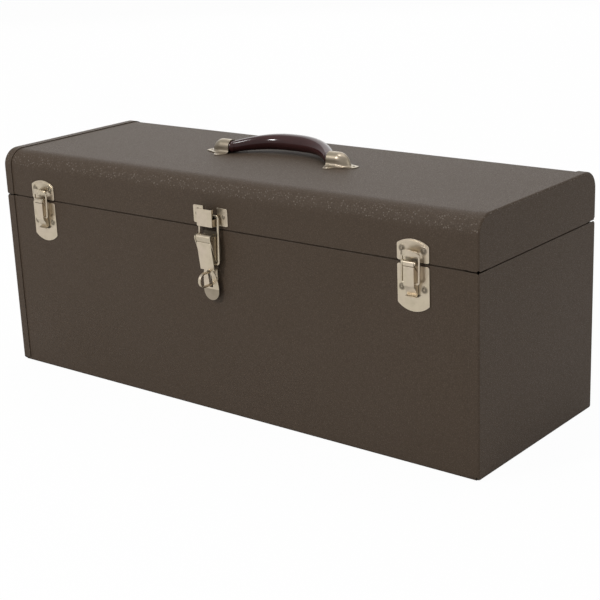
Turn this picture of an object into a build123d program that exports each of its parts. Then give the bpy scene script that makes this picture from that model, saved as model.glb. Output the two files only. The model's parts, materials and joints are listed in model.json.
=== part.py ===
from build123d import *
import os
from math import asin, cos, hypot, radians, sin

# Steel tool box, in millimetres: +X to the right, the front towards -Y, +Z up.
# The origin is the middle of the underside, on the surface that the box stands on.

# Case
width = 610.0
depth = 212.0
split_height = 194.3
lid_height = 49.9
sheet = 0.9
lid_radius = 18.5
bend_inside = 1.1
seam_gap = 1.4
end_flange = 11.0
wrap_setback = 4.0
corner_relief = 2.4
overrun = 10.0

# Dust lips inside the rim of the body
rim_lap = 10.0
rim_rise = 7.0
rim_clearance = 0.5
rim_end_gap = 16.0

# Piano hinge along the back
hinge_inset = 1.9
hinge_edge = 2.6
hinge_relief = 0.9
hinge_end_gap = 14.0
knuckle_radius = 1.75
knuckle_count = 24
knuckle_play = 0.3
hinge_pin_radius = 1.0
leaf_sheet = 0.8
leaf_height = 16.0
pin_clearance = 0.05

# Carrying handle, a bow that lies back on the lid between two caps
handle_y = 3.75
pivot_height = 6.6
handle_half = 63.0
handle_bow = 27.7
bow_power = 2.54
handle_tilt = 9.8
grip_radius = 8.75
grip_end_radius = 5.7
grip_neck_radius = 3.6
grip_end_share = 0.93
grip_sections = 13
core_radius = 2.5
running_gap = 0.3
cap_setback = 1.6
cap_sheet = 0.9
cap_barrel = 17.2
cap_foot_half = 19.3
cap_shoulder = 14.0
cap_tongue = 33.1
cap_tongue_half = 6.0
cap_rivet_along = 7.5
cap_rivet_aside = 14.6
cap_rivet_out = 29.2
handle_plate_margin = 8.0

# Rivets
rivet_shank = 1.5
rivet_tail_radius = 2.4
rivet_tail = 0.8
rivet_head_radius = 2.6
rivet_head = 1.0
cap_rivet_head_radius = 2.0

# Draw latches, one near each end of the front
left_latch_inset = 60.0
right_latch_inset = 67.5
latch_sheet = 0.9
latch_width = 34.0
latch_corner = 2.0
keeper_rise = 21.3
keeper_crown = 5.2
keeper_rivet_aside = 11.6
keeper_rivet_rise = 11.8
keeper_bead = 0.5
keeper_bead_width = 1.1
keeper_bead_inset = 1.2
hook_half = 3.6
hook_shelf_rise = 8.2
hook_crown_rise = 12.6
hook_shoulder_rise = 11.4
hook_pocket = 6.7
hook_bend = 0.8
base_drop = 2.4
base_length = 43.0
base_crown = 6.8
base_rivet_aside = 12.0
base_rivet_drop = 23.7
pivot_out = 6.3
pivot_rise = 0.95
pivot_pin_radius = 1.1
knuckle_wall = 1.15
ear_root = 7.0
ear_gap = 0.3
pin_proud = 0.5
lever_half = 5.6
lever_back_gap = 0.6
lever_wall_drop = 3.5
lever_bend_drop = 20.0
lever_length = 32.4
lever_bend = 6.0
bail_wire = 1.1
bail_half = 9.1
bail_bend = 2.0
bail_shoulder = 4.5
bail_drop = 17.8
bail_out = 5.6
bail_seat_gap = 0.35
bail_back_gap = 2.6
bail_tip_reach = 1.4
bail_hole_gap = 0.1
hood_half = 10.6
hood_sheet = 0.9
hood_bow = 5.8
hood_below = 2.8
hood_above = 3.1

# Hasp latch in the middle of the front, with its padlock staple
hasp_offset = 1.0
hasp_sheet = 0.9
hasp_keeper_half = 22.2
hasp_keeper_low = 3.6
hasp_keeper_high = 21.6
hasp_face_half = 10.0
hasp_face_out = 10.5
hasp_face_high = 21.0
hasp_face_return = 1.2
hasp_seat_rise = 11.0
hasp_seat_gap = 1.4
hasp_corner = 1.6
hasp_rivet_aside = 17.2
hasp_rivet_rise = 13.0
hasp_pivot_out = 10.8
hasp_pivot_drop = 7.6
hasp_pin_radius = 1.4
hasp_knuckle_wall = 1.35
hasp_pin_proud = 0.2
hasp_lever_half = 9.1
hasp_lever_foot_out = 9.4
hasp_lever_length = 33.0
hasp_wall_drop = 4.5
hasp_back = 2.2
hasp_base_drop = 2.6
hasp_cheek_length = 28.0
hasp_cheek_depth = 6.8
hasp_ear_wall = 1.0
hasp_stem_half = 5.2
hasp_stem_length = 27.0
hasp_base_rivet_aside = 5.0
hasp_base_rivet_drop = 22.0
hasp_stem_rivet_drop = 36.5
hasp_bail_wire = 1.25
hasp_bail_half = 12.1
hasp_bail_bend = 2.6
hasp_bail_drop = 26.7
hasp_bail_out = 5.6
hasp_bail_back_gap = 1.2
hasp_bail_tip_reach = 1.6
tail_radius = 9.8
tail_neck_half = 7.6
tail_out = 4.4
tail_drop = 55.3
tail_slot_gap = 0.6
staple_half = 1.6
staple_strap = 1.6
staple_radius = 7.5
staple_reach = 14.9
staple_drop = 42.2
staple_slot_above = 0.7
staple_slot_below = 2.0

# Places worked out from the sizes above
wrap_depth = depth - 2 * sheet
wrap_length = width - 2 * wrap_setback
front_y = -wrap_depth / 2
inner_y = wrap_depth / 2 - sheet
end_inner_x = width / 2 - sheet
height = split_height + lid_height
lid_top = height - sheet
cap_mouth = handle_half + cap_setback
seam_low = split_height - seam_gap / 2
seam_high = split_height + seam_gap / 2
outer_bend = bend_inside + sheet
corner_notch = outer_bend + sheet
hinge_y = depth / 2 - hinge_inset
latch_places = {"left": left_latch_inset - width / 2, "right": width / 2 - right_latch_inset}
base_rivet_places = [(x + s * base_rivet_aside, split_height - base_rivet_drop)
                     for x in latch_places.values() for s in (-1, 1)]
keeper_rivet_places = [(x + s * keeper_rivet_aside, split_height + keeper_rivet_rise)
                       for x in latch_places.values() for s in (-1, 1)]
hasp_x = -hasp_offset
hasp_base_rivet_places = [(hasp_x + s * hasp_base_rivet_aside, split_height - hasp_base_rivet_drop)
                          for s in (-1, 1)]
hasp_base_rivet_places.append((hasp_x, split_height - hasp_stem_rivet_drop))
hasp_keeper_rivet_places = [(hasp_x + s * hasp_rivet_aside, split_height + hasp_rivet_rise) for s in (-1, 1)]
cap_rivet_places = [(s * (cap_mouth + cap_rivet_along), handle_y + t * cap_rivet_aside)
                    for s in (-1, 1) for t in (-1, 1)]
cap_rivet_places += [(s * (cap_mouth + cap_rivet_out), handle_y) for s in (-1, 1)]

os.makedirs("parts", exist_ok=True)


def save(piece, name):
    piece.part.label = name
    export_step(piece.part, f"parts/{name}.step")


def front_plane(x):
    # Sketch plane on the front sheet at the seam: right, up, and out of the box
    return Plane(origin=(x, front_y, split_height), x_dir=(1, 0, 0), z_dir=(0, -1, 0))


def side_plane(x):
    # Sketch plane square to the front sheet: out of the box, and up from the seam
    return Plane(origin=(x, front_y, split_height), x_dir=(0, -1, 0), z_dir=(-1, 0, 0))


def along_x(x, out, rise):
    # Place on an axis along X, given from the seam on the front sheet
    return (x, front_y - out, split_height + rise)


def drill_front(places):
    with Locations(*[(x, front_y, z) for x, z in places]):
        Cylinder(rivet_shank + pin_clearance, 2 * overrun, rotation=(90, 0, 0), mode=Mode.SUBTRACT)


def drill_top():
    with Locations(*[(x, y, lid_top) for x, y in cap_rivet_places]):
        Cylinder(rivet_shank + pin_clearance, 2 * overrun, mode=Mode.SUBTRACT)


def rivet(seat, grip, head_radius):
    # Domed head on the seat, a shank through the sheets and a flat tail behind them
    ball = (head_radius**2 + rivet_head**2) / (2 * rivet_head)
    half_turn = asin(head_radius / ball) / 2
    middle = (ball * sin(half_turn), rivet_head - ball + ball * cos(half_turn))
    with BuildSketch(Plane(seat.origin, x_dir=seat.x_dir, z_dir=-seat.y_dir)) as outline:
        with BuildLine():
            ThreePointArc((0, rivet_head), middle, (head_radius, 0))
            Polyline((head_radius, 0), (rivet_shank, 0), (rivet_shank, -grip), (rivet_tail_radius, -grip),
                     (rivet_tail_radius, -grip - rivet_tail), (0, -grip - rivet_tail), (0, rivet_head))
        make_face()
    revolve(outline.sketch, axis=Axis(seat.origin, seat.z_dir))


def front_rivets(places, plate):
    with BuildPart() as rivets:
        for x, z in places:
            seat = Plane(origin=(x, front_y - plate, z), x_dir=(1, 0, 0), z_dir=(0, -1, 0))
            rivet(seat, plate + sheet, rivet_head_radius)
    return rivets


def hinge_slot():
    # The walls stop short of the hinge line, and meet there when the lid is fully open
    with Locations((0, depth / 2, split_height)):
        Box(width + overrun, 2 * (hinge_inset + hinge_relief), 2 * hinge_edge, mode=Mode.SUBTRACT)


def wrap(low, high, corner, corner_side):
    # One sheet bent round the front, the back and either the underside or the top
    with BuildPart() as piece:
        with BuildSketch(Plane.YZ):
            with Locations((0, (low + high) / 2)):
                Rectangle(wrap_depth, high - low)
            fillet(vertices().group_by(Axis.Y)[corner_side], corner)
        extrude(amount=wrap_length / 2, both=True)
        mouth = faces().filter_by(Axis.Z).sort_by(Axis.Z)[-1 - corner_side]
        offset(amount=-sheet, openings=[mouth] + list(faces().filter_by(Axis.X)))
        hinge_slot()
    return piece


def end_panel(side, low, high, corner, corner_side):
    # Flat end with a flange that folds over the outside of the wrap
    with BuildPart() as piece:
        with BuildSketch(Plane.YZ.offset(side * (width / 2 - end_flange))):
            with Locations((0, (low + high) / 2)):
                Rectangle(depth, high - low)
            fillet(vertices().group_by(Axis.Y)[corner_side], corner)
        extrude(amount=side * end_flange)
        outer = faces().filter_by(Axis.X).sort_by(Axis.X)[-1 if side > 0 else 0]
        mouth_height = low if corner_side else high
        rim = [edge for edge in outer.edges() if abs(edge.center().Z - mouth_height) > outer_bend]
        fillet(rim, outer_bend)
        inner = faces().filter_by(Axis.X).sort_by(Axis.X)[0 if side > 0 else -1]
        mouth = faces().filter_by(Axis.Z).sort_by(Axis.Z)[-1 - corner_side]
        offset(amount=-sheet, openings=[inner, mouth])
        hinge_slot()
        with Locations((side * width / 2, -depth / 2, split_height)):
            Sphere(corner_relief, mode=Mode.SUBTRACT)
    return piece


def rim_strip(plane, length):
    # Lower half lies on the wall, upper half stands clear of the lid that closes over it
    lap = -seam_gap / 2 - rim_lap
    step = -seam_gap / 2
    rise = seam_gap / 2 + rim_rise
    with BuildPart() as strip:
        with BuildSketch(plane):
            with BuildLine():
                Polyline((0, lap), (0, step - rim_clearance), (rim_clearance, step), (rim_clearance, rise),
                         (rim_clearance + sheet, rise), (rim_clearance + sheet, step),
                         (sheet, step - rim_clearance), (sheet, lap), close=True)
            make_face()
        extrude(amount=length / 2, both=True)
    return strip


def hinge_leaf(up):
    # Leaf on the inner face of the back wall, with every second knuckle of the hinge
    half = width / 2 - hinge_end_gap
    pitch = 2 * half / knuckle_count
    own = [-half + (i + 1 / 2) * pitch for i in range(knuckle_count) if i % 2 == (up > 0)]
    other = [-half + (i + 1 / 2) * pitch for i in range(knuckle_count) if i % 2 != (up > 0)]
    with BuildPart() as leaf:
        with Locations((0, inner_y - leaf_sheet / 2, split_height + up * leaf_height / 2)):
            Box(2 * half, leaf_sheet, leaf_height)
        with Locations(*[(x, inner_y, split_height) for x in other]):
            Box(pitch, overrun, 2 * (knuckle_radius + knuckle_play), mode=Mode.SUBTRACT)
        with Locations(*[(x, hinge_y, split_height) for x in own]):
            Cylinder(knuckle_radius, pitch - knuckle_play, rotation=(0, 90, 0))
        with Locations((0, hinge_y, split_height)):
            Cylinder(hinge_pin_radius + pin_clearance, width, rotation=(0, 90, 0), mode=Mode.SUBTRACT)
    return leaf


# Body
body_shell = wrap(0, seam_low, outer_bend, 0)
with BuildPart() as body_wrap:
    add(body_shell.part)
    drill_front(base_rivet_places + hasp_base_rivet_places)
save(body_wrap, "body_wrap")
for side, name in ((-1, "body_end_left"), (1, "body_end_right")):
    body_panel = end_panel(side, sheet, seam_low, outer_bend + sheet, 0)
    with BuildPart() as body_end:
        add(body_panel.part)
        # The lower flange lies inside on the wrap, so the corners are notched where the wrap bends past
        with Locations(*[(side * (width / 2 - outer_bend - end_flange), s * depth / 2, sheet) for s in (-1, 1)]):
            Box(2 * end_flange, 2 * corner_notch, 2 * corner_notch, mode=Mode.SUBTRACT)
    save(body_end, name)

front_lip = Plane(origin=(0, -inner_y, split_height), x_dir=(0, 1, 0), z_dir=(1, 0, 0))
left_lip = Plane(origin=(-end_inner_x, 0, split_height), x_dir=(1, 0, 0), z_dir=(0, -1, 0))
right_lip = Plane(origin=(end_inner_x, 0, split_height), x_dir=(-1, 0, 0), z_dir=(0, 1, 0))
save(rim_strip(front_lip, width - 2 * rim_end_gap), "rim_strip_front")
save(rim_strip(left_lip, depth - 2 * rim_end_gap), "rim_strip_left")
save(rim_strip(right_lip, depth - 2 * rim_end_gap), "rim_strip_right")

# Piano hinge
save(hinge_leaf(-1), "hinge_leaf_body")
save(hinge_leaf(1), "hinge_leaf_lid")
with BuildPart() as hinge_pin:
    with Locations((0, hinge_y, split_height)):
        Cylinder(hinge_pin_radius, width - 2 * hinge_end_gap, rotation=(0, 90, 0))
save(hinge_pin, "hinge_pin")

# Lid
lid_shell = wrap(seam_high, lid_top, lid_radius - sheet, -1)
with BuildPart() as lid_wrap:
    add(lid_shell.part)
    drill_front(keeper_rivet_places + hasp_keeper_rivet_places)
    drill_top()
save(lid_wrap, "lid_wrap")
save(end_panel(-1, seam_high, height, lid_radius, -1), "lid_end_left")
save(end_panel(1, seam_high, height, lid_radius, -1), "lid_end_right")

# Stiffening plate under the handle
with BuildPart() as handle_plate:
    with Locations((0, handle_y, lid_top - sheet - cap_sheet / 2)):
        Box(2 * (cap_mouth + cap_tongue + handle_plate_margin), 2 * (cap_foot_half + handle_plate_margin),
            cap_sheet)
    fillet(edges().filter_by(Axis.Z), handle_plate_margin)
    drill_top()
save(handle_plate, "handle_plate")


def dome(side, radius, mode):
    # Barrel along the pivot, closed by a rounded end and standing on the lid
    middle_x = side * (cap_mouth + cap_barrel / 2)
    end_x = side * (cap_mouth + cap_barrel)
    with Locations((middle_x, handle_y, lid_top + pivot_height)):
        Cylinder(radius, cap_barrel, rotation=(0, 90, 0), mode=mode)
    with Locations((middle_x, handle_y, lid_top + pivot_height / 2)):
        Box(cap_barrel, 2 * radius, pivot_height, mode=mode)
    with Locations((end_x, handle_y, lid_top + pivot_height)):
        Sphere(radius, rotation=(0, 90, 0), mode=mode)
    with Locations((end_x, handle_y, lid_top + pivot_height / 2)):
        Cylinder(radius, pivot_height, mode=mode)


# Handle caps
for side, name in ((-1, "handle_cap_left"), (1, "handle_cap_right")):
    with BuildPart() as cap:
        with BuildSketch(Plane.XY.offset(lid_top)):
            with BuildLine():
                mouth_x = side * cap_mouth
                shoulder_x = side * (cap_mouth + cap_shoulder)
                tip_x = side * (cap_mouth + cap_tongue)
                Polyline((tip_x, handle_y - cap_tongue_half), (shoulder_x, handle_y - cap_foot_half),
                         (mouth_x, handle_y - cap_foot_half), (mouth_x, handle_y + cap_foot_half),
                         (shoulder_x, handle_y + cap_foot_half), (tip_x, handle_y + cap_tongue_half), close=True)
            make_face()
            fillet(vertices(), cap_tongue_half - cap_sheet)
        extrude(amount=cap_sheet)
        dome(side, pivot_height + cap_sheet, Mode.ADD)
        dome(side, pivot_height, Mode.SUBTRACT)
        with Locations((side * cap_mouth, handle_y, lid_top - overrun)):
            Box(width, depth, 2 * overrun, mode=Mode.SUBTRACT)
        drill_top()
    save(cap, name)

with BuildPart() as cap_rivets:
    for x, y in cap_rivet_places:
        rivet(Plane(origin=(x, y, lid_top + cap_sheet)), 2 * cap_sheet + sheet, cap_rivet_head_radius)
save(cap_rivets, "handle_cap_rivets")


def bow_plane(share):
    # Section plane across the handle, at a share of the way from its middle to a pivot
    rise = handle_bow * (1 - abs(share) ** bow_power)
    slope = -handle_bow * bow_power * abs(share) ** (bow_power - 1) / handle_half * (1 if share > 0 else -1)
    back, up = cos(radians(handle_tilt)), sin(radians(handle_tilt))
    origin = (share * handle_half, handle_y + rise * back, lid_top + pivot_height + rise * up)
    return Plane(origin, x_dir=(0, -up, back), z_dir=(1, slope * back, slope * up))


def bow(middle_radius, end_radius, neck_radius):
    # Round sections that swell to the middle, then a short neck down to each pivot
    shares = [grip_end_share * (2 * i / (grip_sections - 1) - 1) for i in range(grip_sections)]
    sections = []
    for share in (-1, *shares, 1):
        swell = end_radius + (middle_radius - end_radius) * (1 - (share / grip_end_share) ** 2)
        with BuildSketch(bow_plane(share)) as section:
            Circle(neck_radius if abs(share) > grip_end_share else swell)
        sections.append(section.sketch)
    loft(sections)


# Handle grip, whose round ends turn in the caps, and the steel core inside it
with BuildPart() as handle_core:
    bow(core_radius, core_radius, core_radius)
save(handle_core, "handle_core")
with BuildPart() as handle_grip:
    bow(grip_radius, grip_end_radius, grip_neck_radius)
    with Locations(*[(s * (cap_mouth + running_gap), handle_y, lid_top + pivot_height) for s in (-1, 1)]):
        Sphere(pivot_height - running_gap, rotation=(0, 90, 0))
    add(handle_core.part, mode=Mode.SUBTRACT)
save(handle_grip, "handle_grip")


def bail_plane(x, low, high):
    # Sketch plane of a bail, from its pivots in the lever towards its bar, with the bar's distance
    run, climb = high[0] - low[0], high[1] - low[1]
    length = hypot(run, climb)
    return Plane(along_x(x, *low), x_dir=(1, 0, 0), z_dir=(0, -climb / length, -run / length)), length


def bail_loop(x, low, high, half, wire, bend, shoulder, tip):
    # Wire loop from the pivots in the lever up to the bar in the keeper
    lay, length = bail_plane(x, low, high)
    with BuildPart() as loop:
        with BuildLine(lay) as path:
            FilletPolyline((-tip, 0), (-half, 0), (-half, length), (half, length), (half, 0), (tip, 0),
                           radius=(bend, shoulder, shoulder, bend))
        with BuildSketch(Plane(origin=path.line @ 0, z_dir=path.line % 0)):
            Circle(wire)
        sweep(path=path.line)
    return loop


def bail_hood(x, low, high):
    # Half-moon plate across the top of a bail, bowed outwards to pass in front of the hook
    lay, length = bail_plane(x, low, high)
    foot = length - hood_below
    inner_half = hood_half - hood_sheet
    with BuildPart() as hood:
        with BuildSketch(Plane(lay.from_local_coords((0, foot, 0)), x_dir=(1, 0, 0), z_dir=lay.y_dir)):
            with BuildLine():
                ThreePointArc((-hood_half, 0), (0, -hood_bow), (hood_half, 0))
                Line((hood_half, 0), (inner_half, 0))
                ThreePointArc((inner_half, 0), (0, hood_sheet - hood_bow), (-inner_half, 0))
                Line((-inner_half, 0), (-hood_half, 0))
            make_face()
        extrude(amount=hood_below + hood_above)
        with BuildSketch(lay):
            with BuildLine():
                Line((-hood_half, foot), (hood_half, foot))
                ThreePointArc((hood_half, foot), (0, length + hood_above), (-hood_half, foot))
            make_face()
        extrude(amount=hood_bow, mode=Mode.INTERSECT)
    return hood


def pivot_pin(x, out, rise, radius, half):
    with BuildPart() as pin:
        with Locations(along_x(x, out, rise)):
            Cylinder(radius, 2 * half, rotation=(0, 90, 0))
    return pin


def bore(x, out, rise, radius):
    with Locations(along_x(x, out, rise)):
        Cylinder(radius, 2 * (hasp_keeper_half + overrun), rotation=(0, 90, 0), mode=Mode.SUBTRACT)


# Draw latches
half = latch_width / 2
knuckle = pivot_pin_radius + knuckle_wall
ear_in = lever_half + ear_gap
lip_in = latch_sheet + hook_pocket
bar_out = latch_sheet + bail_back_gap + bail_wire
bar_rise = hook_shelf_rise + latch_sheet + bail_seat_gap + bail_wire
for name, x in latch_places.items():
    front = front_plane(x)
    side = side_plane(x)

    keeper_foot = seam_gap / 2
    keeper_shoulder = keeper_rise - keeper_crown
    with BuildPart() as keeper:
        with BuildSketch(front):
            with BuildLine():
                Polyline((-half, keeper_shoulder), (-half, keeper_foot), (half, keeper_foot), (half, keeper_shoulder))
                ThreePointArc((half, keeper_shoulder), (0, keeper_rise), (-half, keeper_shoulder))
            make_face()
            fillet(vertices(), latch_corner)
        extrude(amount=latch_sheet)
        bead_half = half - keeper_bead_inset
        bead_foot = keeper_shoulder - keeper_bead_inset
        bead_top = keeper_rise - keeper_bead_inset
        with BuildSketch(front.offset(latch_sheet)):
            with BuildLine():
                ThreePointArc((-bead_half, bead_foot), (0, bead_top), (bead_half, bead_foot))
                Line((bead_half, bead_foot), (bead_half - keeper_bead_width, bead_foot - keeper_bead_width))
                ThreePointArc((bead_half - keeper_bead_width, bead_foot - keeper_bead_width),
                              (0, bead_top - keeper_bead_width),
                              (keeper_bead_width - bead_half, bead_foot - keeper_bead_width))
                Line((keeper_bead_width - bead_half, bead_foot - keeper_bead_width), (-bead_half, bead_foot))
            make_face()
        extrude(amount=keeper_bead)
        with BuildSketch(front):
            with Locations((0, hook_shelf_rise + latch_sheet / 2)):
                Rectangle(2 * hook_half, latch_sheet)
        extrude(amount=lip_in + latch_sheet)
        with BuildSketch(front.offset(lip_in)):
            with BuildLine():
                Polyline((-hook_half, hook_shoulder_rise), (-hook_half, hook_shelf_rise),
                         (hook_half, hook_shelf_rise), (hook_half, hook_shoulder_rise))
                ThreePointArc((hook_half, hook_shoulder_rise), (0, hook_crown_rise),
                              (-hook_half, hook_shoulder_rise))
            make_face()
        extrude(amount=latch_sheet)
        fillet(edges().filter_by(Axis.X).group_by(Axis.Y)[0], hook_bend)
        drill_front(keeper_rivet_places)
    save(keeper, f"{name}_keeper")
    save(front_rivets([p for p in keeper_rivet_places if abs(p[0] - x) < latch_width], latch_sheet),
         f"{name}_keeper_rivets")

    base_shoulder = base_crown - base_drop - base_length
    with BuildPart() as base:
        with BuildSketch(front):
            with BuildLine():
                Polyline((-half, base_shoulder), (-half, -base_drop), (half, -base_drop), (half, base_shoulder))
                ThreePointArc((half, base_shoulder), (0, -base_drop - base_length), (-half, base_shoulder))
            make_face()
            fillet(vertices(), latch_corner)
        extrude(amount=latch_sheet)
        for s in (-1, 1):
            with BuildSketch(side.offset(s * ear_in)):
                with Locations((pivot_out, pivot_rise)):
                    Circle(knuckle)
                with Locations((latch_sheet / 2, -base_drop - ear_root / 2)):
                    Rectangle(latch_sheet, ear_root)
                make_hull()
            extrude(amount=s * latch_sheet)
        bore(x, pivot_out, pivot_rise, pivot_pin_radius + pin_clearance)
        drill_front(base_rivet_places)
    save(base, f"{name}_latch_base")
    save(front_rivets([p for p in base_rivet_places if abs(p[0] - x) < latch_width], latch_sheet),
         f"{name}_base_rivets")
    save(pivot_pin(x, pivot_out, pivot_rise, pivot_pin_radius, ear_in + latch_sheet + pin_proud), f"{name}_pivot_pin")

    face_out = pivot_out + knuckle
    back_out = latch_sheet + lever_back_gap
    with BuildPart() as lever:
        with BuildSketch(side):
            with BuildLine():
                Polyline((face_out, pivot_rise), (face_out, pivot_rise - lever_bend_drop),
                         (back_out, pivot_rise - lever_length), (back_out, pivot_rise - lever_wall_drop), close=True)
            make_face()
        extrude(amount=lever_half, both=True)
        fillet(edges().filter_by(Axis.X).group_by(Axis.Y)[0].sort_by(Axis.Z)[0], lever_bend)
        back = faces().filter_by(Axis.Y).sort_by(Axis.Y)[-1]
        top = faces().sort_by(Axis.Z)[-1]
        offset(amount=-latch_sheet, openings=[back, top])
        with Locations(along_x(x, pivot_out, pivot_rise)):
            Cylinder(knuckle, 2 * lever_half, rotation=(0, 90, 0))
        bore(x, pivot_out, pivot_rise, pivot_pin_radius + pin_clearance)
        bore(x, bail_out, -bail_drop, bail_wire + bail_hole_gap)
    save(lever, f"{name}_lever")
    bail_low = (bail_out, -bail_drop)
    bail_high = (bar_out, bar_rise)
    bail_tip = lever_half - bail_tip_reach
    loop = bail_loop(x, bail_low, bail_high, bail_half, bail_wire, bail_bend, bail_shoulder, bail_tip)
    hood = bail_hood(x, bail_low, bail_high)
    with BuildPart() as bail:
        add(loop.part)
        add(hood.part)
    save(bail, f"{name}_bail")

# Hasp latch
front = front_plane(hasp_x)
side = side_plane(hasp_x)
hasp_knuckle = hasp_pin_radius + hasp_knuckle_wall
with BuildPart() as hasp_keeper:
    with BuildSketch(front):
        with Locations((0, (hasp_keeper_low + hasp_keeper_high) / 2)):
            Rectangle(2 * hasp_keeper_half, hasp_keeper_high - hasp_keeper_low)
        fillet(vertices(), hasp_corner)
        with Locations((0, (hasp_keeper_low + hasp_keeper_high) / 2)):
            Rectangle(2 * (hasp_face_half - hasp_sheet), 2 * hasp_keeper_high, mode=Mode.SUBTRACT)
    extrude(amount=hasp_sheet)
    with BuildSketch(front):
        with Locations((0, (hasp_keeper_low + hasp_seat_rise) / 2)):
            Rectangle(2 * hasp_face_half, hasp_seat_rise - hasp_keeper_low)
    extrude(amount=hasp_face_out)
    with BuildSketch(front.offset(hasp_face_out - hasp_face_return)):
        with Locations((0, (hasp_keeper_low + hasp_face_high) / 2)):
            Rectangle(2 * hasp_face_half, hasp_face_high - hasp_keeper_low)
    extrude(amount=hasp_face_return)
    fillet(edges().filter_by(Axis.Z).group_by(Axis.Y)[0], hasp_sheet)
    with BuildSketch(front):
        with Locations((0, (hasp_keeper_low + hasp_face_high) / 2)):
            Rectangle(2 * (hasp_face_half - hasp_sheet), 2 * hasp_keeper_high, mode=Mode.ADD)
    extrude(amount=hasp_face_out - hasp_sheet, mode=Mode.SUBTRACT)
    drill_front(hasp_keeper_rivet_places)
save(hasp_keeper, "hasp_keeper")
save(front_rivets(hasp_keeper_rivet_places, hasp_sheet), "hasp_keeper_rivets")

cheek_in = hasp_lever_half + ear_gap
cheek_out = cheek_in + hasp_sheet
cheek_foot = -hasp_base_drop - hasp_cheek_length - hasp_knuckle_wall
with BuildPart() as hasp_base:
    with BuildSketch(front):
        with Locations((0, (cheek_foot - hasp_base_drop) / 2)):
            Rectangle(2 * cheek_out, -cheek_foot - hasp_base_drop)
        with Locations((0, cheek_foot - hasp_stem_length / 2)):
            Rectangle(2 * hasp_stem_half, hasp_stem_length)
    extrude(amount=hasp_sheet)
    for s in (-1, 1):
        with BuildSketch(side.offset(s * cheek_in)):
            with Locations((hasp_pivot_out, -hasp_pivot_drop)):
                Circle(hasp_pin_radius + hasp_ear_wall)
            with Locations((hasp_cheek_depth / 2, (cheek_foot - hasp_pivot_drop) / 2)):
                Rectangle(hasp_cheek_depth, -cheek_foot - hasp_pivot_drop)
            make_hull()
        extrude(amount=s * hasp_sheet)
    bore(hasp_x, hasp_pivot_out, -hasp_pivot_drop, hasp_pin_radius + pin_clearance)
    drill_front(hasp_base_rivet_places)
save(hasp_base, "hasp_base")
save(front_rivets(hasp_base_rivet_places, hasp_sheet), "hasp_base_rivets")
save(pivot_pin(hasp_x, hasp_pivot_out, -hasp_pivot_drop, hasp_pin_radius, cheek_out + hasp_pin_proud), "hasp_pivot_pin")

lever_foot = -hasp_pivot_drop - hasp_lever_length
tail_middle = -hasp_pivot_drop - tail_drop
staple_middle = -hasp_pivot_drop - staple_drop
slot_top = staple_middle + staple_radius + staple_slot_above
slot_low = staple_middle - staple_radius - staple_slot_below
with BuildPart() as hasp_lever:
    with BuildSketch(side):
        with BuildLine():
            Polyline((hasp_pivot_out + hasp_knuckle, -hasp_pivot_drop), (hasp_lever_foot_out, lever_foot),
                     (hasp_back, lever_foot), (hasp_back, -hasp_pivot_drop - hasp_wall_drop), close=True)
        make_face()
    extrude(amount=hasp_lever_half, both=True)
    back = faces().filter_by(Axis.Y).sort_by(Axis.Y)[-1]
    top = faces().sort_by(Axis.Z)[-1]
    offset(amount=-hasp_sheet, openings=[back, top])
    with Locations(along_x(hasp_x, hasp_pivot_out, -hasp_pivot_drop)):
        Cylinder(hasp_knuckle, 2 * hasp_lever_half, rotation=(0, 90, 0))
    with BuildSketch(front.offset(tail_out)):
        with Locations((0, (lever_foot + hasp_sheet + tail_middle) / 2)):
            Rectangle(2 * tail_neck_half, lever_foot + hasp_sheet - tail_middle)
        with Locations((0, tail_middle)):
            Circle(tail_radius)
        with Locations((0, (slot_top + slot_low) / 2)):
            Rectangle(2 * (staple_half + tail_slot_gap), slot_top - slot_low, mode=Mode.SUBTRACT)
    extrude(amount=hasp_sheet)
    bore(hasp_x, hasp_pivot_out, -hasp_pivot_drop, hasp_pin_radius + pin_clearance)
    bore(hasp_x, hasp_bail_out, -hasp_pivot_drop - hasp_bail_drop, hasp_bail_wire + bail_hole_gap)
save(hasp_lever, "hasp_lever")

hasp_bar_out = hasp_sheet + hasp_bail_back_gap + hasp_bail_wire
hasp_bar_rise = hasp_seat_rise + hasp_seat_gap + hasp_bail_wire
save(bail_loop(hasp_x, (hasp_bail_out, -hasp_pivot_drop - hasp_bail_drop), (hasp_bar_out, hasp_bar_rise),
               hasp_bail_half, hasp_bail_wire, hasp_bail_bend, hasp_bail_bend,
               hasp_lever_half - hasp_bail_tip_reach), "hasp_bail")

# Padlock staple, a strap loop that stands through the slot in the lever's tail
with BuildPart() as padlock_staple:
    with BuildSketch(side):
        with Locations((staple_reach, staple_middle)):
            Circle(staple_radius)
        with Locations(((hasp_sheet + staple_reach) / 2, staple_middle)):
            Rectangle(staple_reach - hasp_sheet, 2 * staple_radius)
        with Locations((staple_reach, staple_middle)):
            Circle(staple_radius - staple_strap, mode=Mode.SUBTRACT)
        with Locations(((hasp_sheet + staple_reach) / 2, staple_middle)):
            Rectangle(staple_reach - hasp_sheet, 2 * (staple_radius - staple_strap), mode=Mode.SUBTRACT)
    extrude(amount=staple_half, both=True)
save(padlock_staple, "padlock_staple")
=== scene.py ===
import json
from math import cos, exp, pi, radians, sin, sqrt

import bmesh
import bpy
from mathutils import Matrix, Vector


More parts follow.
